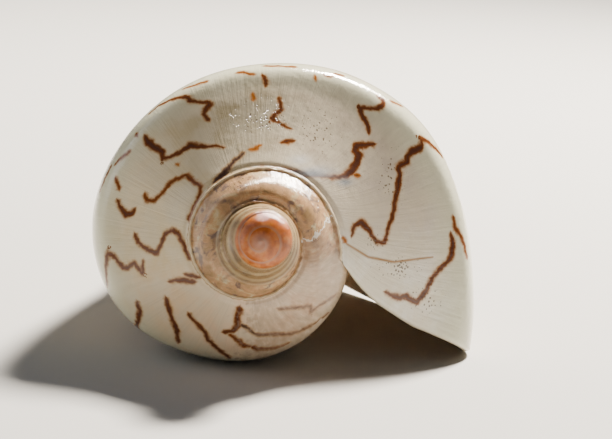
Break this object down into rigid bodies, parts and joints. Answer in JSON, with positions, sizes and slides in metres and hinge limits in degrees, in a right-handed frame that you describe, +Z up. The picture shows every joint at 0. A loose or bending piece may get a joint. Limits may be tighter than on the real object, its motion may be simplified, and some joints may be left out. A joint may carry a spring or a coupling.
{
  "type": "noble volute seashell",
  "caption": "Glossy dextral seashell with a low spire, a rounded dome at its tip, a wide shoulder and a long aperture with folds on its columella.",
  "frame": {"origin": "the middle of the shell's box, on the surface that it lies on", "axes": "+Z up with the aperture down, +Y along the shell towards its siphonal end, so that the spire points to -Y, and +X towards the outer lip"},
  "size_m": [0.094, 0.1313, 0.0685],
  "materials": {
    "shell": "naturally glossy aragonite shell, cream and grey with fine brown zigzag lines"
  },
  "bodies": {
    "root": {"shell": "shell"}
  },
  "joints": []
}
